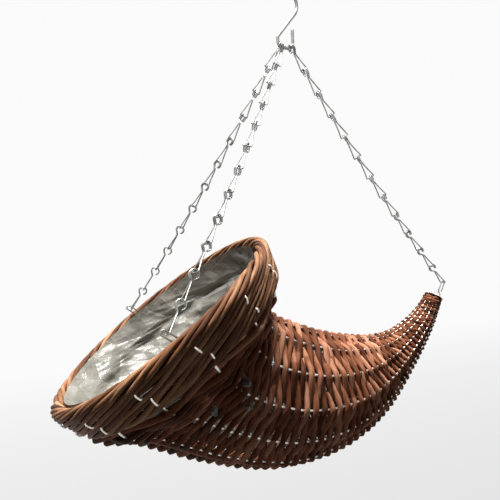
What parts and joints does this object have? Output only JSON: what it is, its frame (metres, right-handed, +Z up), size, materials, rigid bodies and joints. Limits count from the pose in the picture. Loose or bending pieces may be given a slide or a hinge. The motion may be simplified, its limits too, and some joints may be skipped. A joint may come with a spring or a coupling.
{
  "type": "hanging cornucopia basket",
  "caption": "Horn-shaped willow basket with a rolled rim, a film liner and a wire frame, hung by three wire chains from a bent wire hook",
  "frame": {"origin": "the point inside the hook's crook that rests on the bracket", "axes": "+Z up; the mouth points to -X and up, the tip to +X; -Y is the side nearest the camera, and the horn is alike on both sides of the XZ plane"},
  "size_m": [0.5482, 0.2764, 0.6005],
  "materials": {
    "galvanised_wire": "dull galvanised wire",
    "frame_wire": "dark thin steel wire",
    "willow_rod": "peeled and stained willow rods, satin",
    "willow_weave": "woven stained willow rods",
    "liner_film": "thin crumpled clear plastic film"
  },
  "bodies": {
    "hook": {"hook": "galvanised_wire"},
    "basket": {"far_rim_eye": "galvanised_wire", "liner": "liner_film", "near_rim_eye": "galvanised_wire", "rim_rod_1": "willow_rod", "rim_rod_2": "willow_rod", "rim_rod_3": "willow_rod", "rim_rod_4": "willow_rod", "rim_rod_5": "willow_rod", "rim_rod_6": "willow_rod", "tip_eye": "galvanised_wire", "weave_band_1": "willow_weave", "weave_band_2": "willow_weave", "weave_band_3": "willow_weave", "weave_band_4": "willow_weave", "weave_band_5": "willow_weave", "weave_band_6": "willow_weave", "weave_band_7": "willow_weave", "weave_band_8": "willow_weave", "weave_band_9": "willow_weave", "wire_frame": "frame_wire"},
    "far_link_12": {"far_chain_link_12": "galvanised_wire"},
    "far_link_11": {"far_chain_link_11": "galvanised_wire"},
    "far_link_10": {"far_chain_link_10": "galvanised_wire"},
    "far_link_09": {"far_chain_link_09": "galvanised_wire"},
    "far_link_08": {"far_chain_link_08": "galvanised_wire"},
    "far_link_07": {"far_chain_link_07": "galvanised_wire"},
    "far_link_06": {"far_chain_link_06": "galvanised_wire"},
    "far_link_05": {"far_chain_link_05": "galvanised_wire"},
    "far_link_04": {"far_chain_link_04": "galvanised_wire"},
    "far_link_03": {"far_chain_link_03": "galvanised_wire"},
    "far_link_02": {"far_chain_link_02": "galvanised_wire"},
    "far_link_01": {"far_chain_link_01": "galvanised_wire"},
    "near_link_12": {"near_chain_link_12": "galvanised_wire"},
    "near_link_11": {"near_chain_link_11": "galvanised_wire"},
    "near_link_10": {"near_chain_link_10": "galvanised_wire"},
    "near_link_09": {"near_chain_link_09": "galvanised_wire"},
    "near_link_08": {"near_chain_link_08": "galvanised_wire"},
    "near_link_07": {"near_chain_link_07": "galvanised_wire"},
    "near_link_06": {"near_chain_link_06": "galvanised_wire"},
    "near_link_05": {"near_chain_link_05": "galvanised_wire"},
    "near_link_04": {"near_chain_link_04": "galvanised_wire"},
    "near_link_03": {"near_chain_link_03": "galvanised_wire"},
    "near_link_02": {"near_chain_link_02": "galvanised_wire"},
    "near_link_01": {"near_chain_link_01": "galvanised_wire"},
    "tip_link_12": {"tip_chain_link_12": "galvanised_wire"},
    "tip_link_11": {"tip_chain_link_11": "galvanised_wire"},
    "tip_link_10": {"tip_chain_link_10": "galvanised_wire"},
    "tip_link_09": {"tip_chain_link_09": "galvanised_wire"},
    "tip_link_08": {"tip_chain_link_08": "galvanised_wire"},
    "tip_link_07": {"tip_chain_link_07": "galvanised_wire"},
    "tip_link_06": {"tip_chain_link_06": "galvanised_wire"},
    "tip_link_05": {"tip_chain_link_05": "galvanised_wire"},
    "tip_link_04": {"tip_chain_link_04": "galvanised_wire"},
    "tip_link_03": {"tip_chain_link_03": "galvanised_wire"},
    "tip_link_02": {"tip_chain_link_02": "galvanised_wire"},
    "tip_link_01": {"tip_chain_link_01": "galvanised_wire"}
  },
  "joints": [
    {"name": "sway", "type": "hinge", "parent": "hook", "child": "basket", "pos_m": [0, 0, -0.0707], "axis": [1, 0, 0], "range_deg": [-15, 15]},
    {"name": "far_bow", "type": "hinge", "parent": "basket", "child": "far_link_12", "pos_m": [-0.1892, 0.12168, -0.39854], "axis": [0.5584, 0.8296, 0], "range_deg": [-2, 0.7], "stiffness_Nm_per_rad": 3, "springref_deg": -0.57},
    {"name": "far_turn_11", "type": "hinge", "parent": "far_link_12", "child": "far_link_11", "pos_m": [-0.17276, 0.11061, -0.37191], "axis": [0.5584, 0.8296, 0], "range_deg": [-0.3, 0.8]},
    {"name": "far_turn_10", "type": "hinge", "parent": "far_link_11", "child": "far_link_10", "pos_m": [-0.15654, 0.0997, -0.34508], "axis": [0.5584, 0.8296, 0], "range_deg": [-0.3, 0.8]},
    {"name": "far_turn_09", "type": "hinge", "parent": "far_link_10", "child": "far_link_09", "pos_m": [-0.14055, 0.08893, -0.31805], "axis": [0.5584, 0.8296, 0], "range_deg": [-0.3, 0.8]},
    {"name": "far_turn_08", "type": "hinge", "parent": "far_link_09", "child": "far_link_08", "pos_m": [-0.12479, 0.07833, -0.29082], "axis": [0.5584, 0.8296, 0], "range_deg": [-0.3, 0.8]},
    {"name": "far_turn_07", "type": "hinge", "parent": "far_link_08", "child": "far_link_07", "pos_m": [-0.10926, 0.06787, -0.2634], "axis": [0.5584, 0.8296, 0], "range_deg": [-0.3, 0.8]},
    {"name": "far_turn_06", "type": "hinge", "parent": "far_link_07", "child": "far_link_06", "pos_m": [-0.09396, 0.05757, -0.2358], "axis": [0.5584, 0.8296, 0], "range_deg": [-0.3, 0.8]},
    {"name": "far_turn_05", "type": "hinge", "parent": "far_link_06", "child": "far_link_05", "pos_m": [-0.07889, 0.04743, -0.208], "axis": [0.5584, 0.8296, 0], "range_deg": [-0.3, 0.8]},
    {"name": "far_turn_04", "type": "hinge", "parent": "far_link_05", "child": "far_link_04", "pos_m": [-0.06406, 0.03744, -0.18003], "axis": [0.5584, 0.8296, 0], "range_deg": [-0.3, 0.8]},
    {"name": "far_turn_03", "type": "hinge", "parent": "far_link_04", "child": "far_link_03", "pos_m": [-0.04947, 0.02762, -0.15187], "axis": [0.5584, 0.8296, 0], "range_deg": [-0.3, 0.8]},
    {"name": "far_turn_02", "type": "hinge", "parent": "far_link_03", "child": "far_link_02", "pos_m": [-0.03511, 0.01796, -0.12354], "axis": [0.5584, 0.8296, 0], "range_deg": [-0.3, 0.8]},
    {"name": "far_turn_01", "type": "hinge", "parent": "far_link_02", "child": "far_link_01", "pos_m": [-0.02099, 0.00845, -0.09504], "axis": [0.5584, 0.8296, 0], "range_deg": [-0.3, 0.8]},
    {"name": "near_bow", "type": "hinge", "parent": "basket", "child": "near_link_12", "pos_m": [-0.1892, -0.12168, -0.39854], "axis": [-0.5496, 0.8354, 0], "range_deg": [-2, 0.7], "stiffness_Nm_per_rad": 3, "springref_deg": -0.57},
    {"name": "near_turn_11", "type": "hinge", "parent": "near_link_12", "child": "near_link_11", "pos_m": [-0.17243, -0.11065, -0.37211], "axis": [-0.5496, 0.8354, 0], "range_deg": [-0.3, 0.8]},
    {"name": "near_turn_10", "type": "hinge", "parent": "near_link_11", "child": "near_link_10", "pos_m": [-0.15588, -0.09976, -0.34546], "axis": [-0.5496, 0.8354, 0], "range_deg": [-0.3, 0.8]},
    {"name": "near_turn_09", "type": "hinge", "parent": "near_link_10", "child": "near_link_09", "pos_m": [-0.13956, -0.08902, -0.31862], "axis": [-0.5496, 0.8354, 0], "range_deg": [-0.3, 0.8]},
    {"name": "near_turn_08", "type": "hinge", "parent": "near_link_09", "child": "near_link_08", "pos_m": [-0.12346, -0.07844, -0.29158], "axis": [-0.5496, 0.8354, 0], "range_deg": [-0.3, 0.8]},
    {"name": "near_turn_07", "type": "hinge", "parent": "near_link_08", "child": "near_link_07", "pos_m": [-0.1076, -0.068, -0.26434], "axis": [-0.5496, 0.8354, 0], "range_deg": [-0.3, 0.8]},
    {"name": "near_turn_06", "type": "hinge", "parent": "near_link_07", "child": "near_link_06", "pos_m": [-0.09197, -0.05772, -0.23692], "axis": [-0.5496, 0.8354, 0], "range_deg": [-0.3, 0.8]},
    {"name": "near_turn_05", "type": "hinge", "parent": "near_link_06", "child": "near_link_05", "pos_m": [-0.07657, -0.04759, -0.2093], "axis": [-0.5496, 0.8354, 0], "range_deg": [-0.3, 0.8]},
    {"name": "near_turn_04", "type": "hinge", "parent": "near_link_05", "child": "near_link_04", "pos_m": [-0.06141, -0.03762, -0.1815], "axis": [-0.5496, 0.8354, 0], "range_deg": [-0.3, 0.8]},
    {"name": "near_turn_03", "type": "hinge", "parent": "near_link_04", "child": "near_link_03", "pos_m": [-0.04648, -0.0278, -0.15352], "axis": [-0.5496, 0.8354, 0], "range_deg": [-0.3, 0.8]},
    {"name": "near_turn_02", "type": "hinge", "parent": "near_link_03", "child": "near_link_02", "pos_m": [-0.03179, -0.01813, -0.12536], "axis": [-0.5496, 0.8354, 0], "range_deg": [-0.3, 0.8]},
    {"name": "near_turn_01", "type": "hinge", "parent": "near_link_02", "child": "near_link_01", "pos_m": [-0.01734, -0.00863, -0.09702], "axis": [-0.5496, 0.8354, 0], "range_deg": [-0.3, 0.8]},
    {"name": "tip_bow", "type": "hinge", "parent": "basket", "child": "tip_link_12", "pos_m": [0.25362, 0, -0.381], "axis": [0, -1, 0], "range_deg": [-2, 0.7], "stiffness_Nm_per_rad": 3, "springref_deg": -0.57},
    {"name": "tip_turn_11", "type": "hinge", "parent": "tip_link_12", "child": "tip_link_11", "pos_m": [0.23165, 0, -0.35611], "axis": [0, -1, 0], "range_deg": [-0.3, 0.8]},
    {"name": "tip_turn_10", "type": "hinge", "parent": "tip_link_11", "child": "tip_link_10", "pos_m": [0.20993, 0, -0.33099], "axis": [0, -1, 0], "range_deg": [-0.3, 0.8]},
    {"name": "tip_turn_09", "type": "hinge", "parent": "tip_link_10", "child": "tip_link_09", "pos_m": [0.18848, 0, -0.30566], "axis": [0, -1, 0], "range_deg": [-0.3, 0.8]},
    {"name": "tip_turn_08", "type": "hinge", "parent": "tip_link_09", "child": "tip_link_08", "pos_m": [0.16728, 0, -0.28011], "axis": [0, -1, 0], "range_deg": [-0.3, 0.8]},
    {"name": "tip_turn_07", "type": "hinge", "parent": "tip_link_08", "child": "tip_link_07", "pos_m": [0.14634, 0, -0.25434], "axis": [0, -1, 0], "range_deg": [-0.3, 0.8]},
    {"name": "tip_turn_06", "type": "hinge", "parent": "tip_link_07", "child": "tip_link_06", "pos_m": [0.12566, 0, -0.22837], "axis": [0, -1, 0], "range_deg": [-0.3, 0.8]},
    {"name": "tip_turn_05", "type": "hinge", "parent": "tip_link_06", "child": "tip_link_05", "pos_m": [0.10525, 0, -0.20219], "axis": [0, -1, 0], "range_deg": [-0.3, 0.8]},
    {"name": "tip_turn_04", "type": "hinge", "parent": "tip_link_05", "child": "tip_link_04", "pos_m": [0.08511, 0, -0.1758], "axis": [0, -1, 0], "range_deg": [-0.3, 0.8]},
    {"name": "tip_turn_03", "type": "hinge", "parent": "tip_link_04", "child": "tip_link_03", "pos_m": [0.06523, 0, -0.1492], "axis": [0, -1, 0], "range_deg": [-0.3, 0.8]},
    {"name": "tip_turn_02", "type": "hinge", "parent": "tip_link_03", "child": "tip_link_02", "pos_m": [0.04562, 0, -0.12241], "axis": [0, -1, 0], "range_deg": [-0.3, 0.8]},
    {"name": "tip_turn_01", "type": "hinge", "parent": "tip_link_02", "child": "tip_link_01", "pos_m": [0.02629, 0, -0.09542], "axis": [0, -1, 0], "range_deg": [-0.3, 0.8]}
  ],
  "couplings": [
    {"joint": "far_turn_11", "follows": "far_bow", "ratio": -0.18182},
    {"joint": "far_turn_10", "follows": "far_bow", "ratio": -0.18182},
    {"joint": "far_turn_09", "follows": "far_bow", "ratio": -0.18182},
    {"joint": "far_turn_08", "follows": "far_bow", "ratio": -0.18182},
    {"joint": "far_turn_07", "follows": "far_bow", "ratio": -0.18182},
    {"joint": "far_turn_06", "follows": "far_bow", "ratio": -0.18182},
    {"joint": "far_turn_05", "follows": "far_bow", "ratio": -0.18182},
    {"joint": "far_turn_04", "follows": "far_bow", "ratio": -0.18182},
    {"joint": "far_turn_03", "follows": "far_bow", "ratio": -0.18182},
    {"joint": "far_turn_02", "follows": "far_bow", "ratio": -0.18182},
    {"joint": "far_turn_01", "follows": "far_bow", "ratio": -0.18182},
    {"joint": "near_turn_11", "follows": "near_bow", "ratio": -0.18182},
    {"joint": "near_turn_10", "follows": "near_bow", "ratio": -0.18182},
    {"joint": "near_turn_09", "follows": "near_bow", "ratio": -0.18182},
    {"joint": "near_turn_08", "follows": "near_bow", "ratio": -0.18182},
    {"joint": "near_turn_07", "follows": "near_bow", "ratio": -0.18182},
    {"joint": "near_turn_06", "follows": "near_bow", "ratio": -0.18182},
    {"joint": "near_turn_05", "follows": "near_bow", "ratio": -0.18182},
    {"joint": "near_turn_04", "follows": "near_bow", "ratio": -0.18182},
    {"joint": "near_turn_03", "follows": "near_bow", "ratio": -0.18182},
    {"joint": "near_turn_02", "follows": "near_bow", "ratio": -0.18182},
    {"joint": "near_turn_01", "follows": "near_bow", "ratio": -0.18182},
    {"joint": "tip_turn_11", "follows": "tip_bow", "ratio": -0.18182},
    {"joint": "tip_turn_10", "follows": "tip_bow", "ratio": -0.18182},
    {"joint": "tip_turn_09", "follows": "tip_bow", "ratio": -0.18182},
    {"joint": "tip_turn_08", "follows": "tip_bow", "ratio": -0.18182},
    {"joint": "tip_turn_07", "follows": "tip_bow", "ratio": -0.18182},
    {"joint": "tip_turn_06", "follows": "tip_bow", "ratio": -0.18182},
    {"joint": "tip_turn_05", "follows": "tip_bow", "ratio": -0.18182},
    {"joint": "tip_turn_04", "follows": "tip_bow", "ratio": -0.18182},
    {"joint": "tip_turn_03", "follows": "tip_bow", "ratio": -0.18182},
    {"joint": "tip_turn_02", "follows": "tip_bow", "ratio": -0.18182},
    {"joint": "tip_turn_01", "follows": "tip_bow", "ratio": -0.18182}
  ]
}
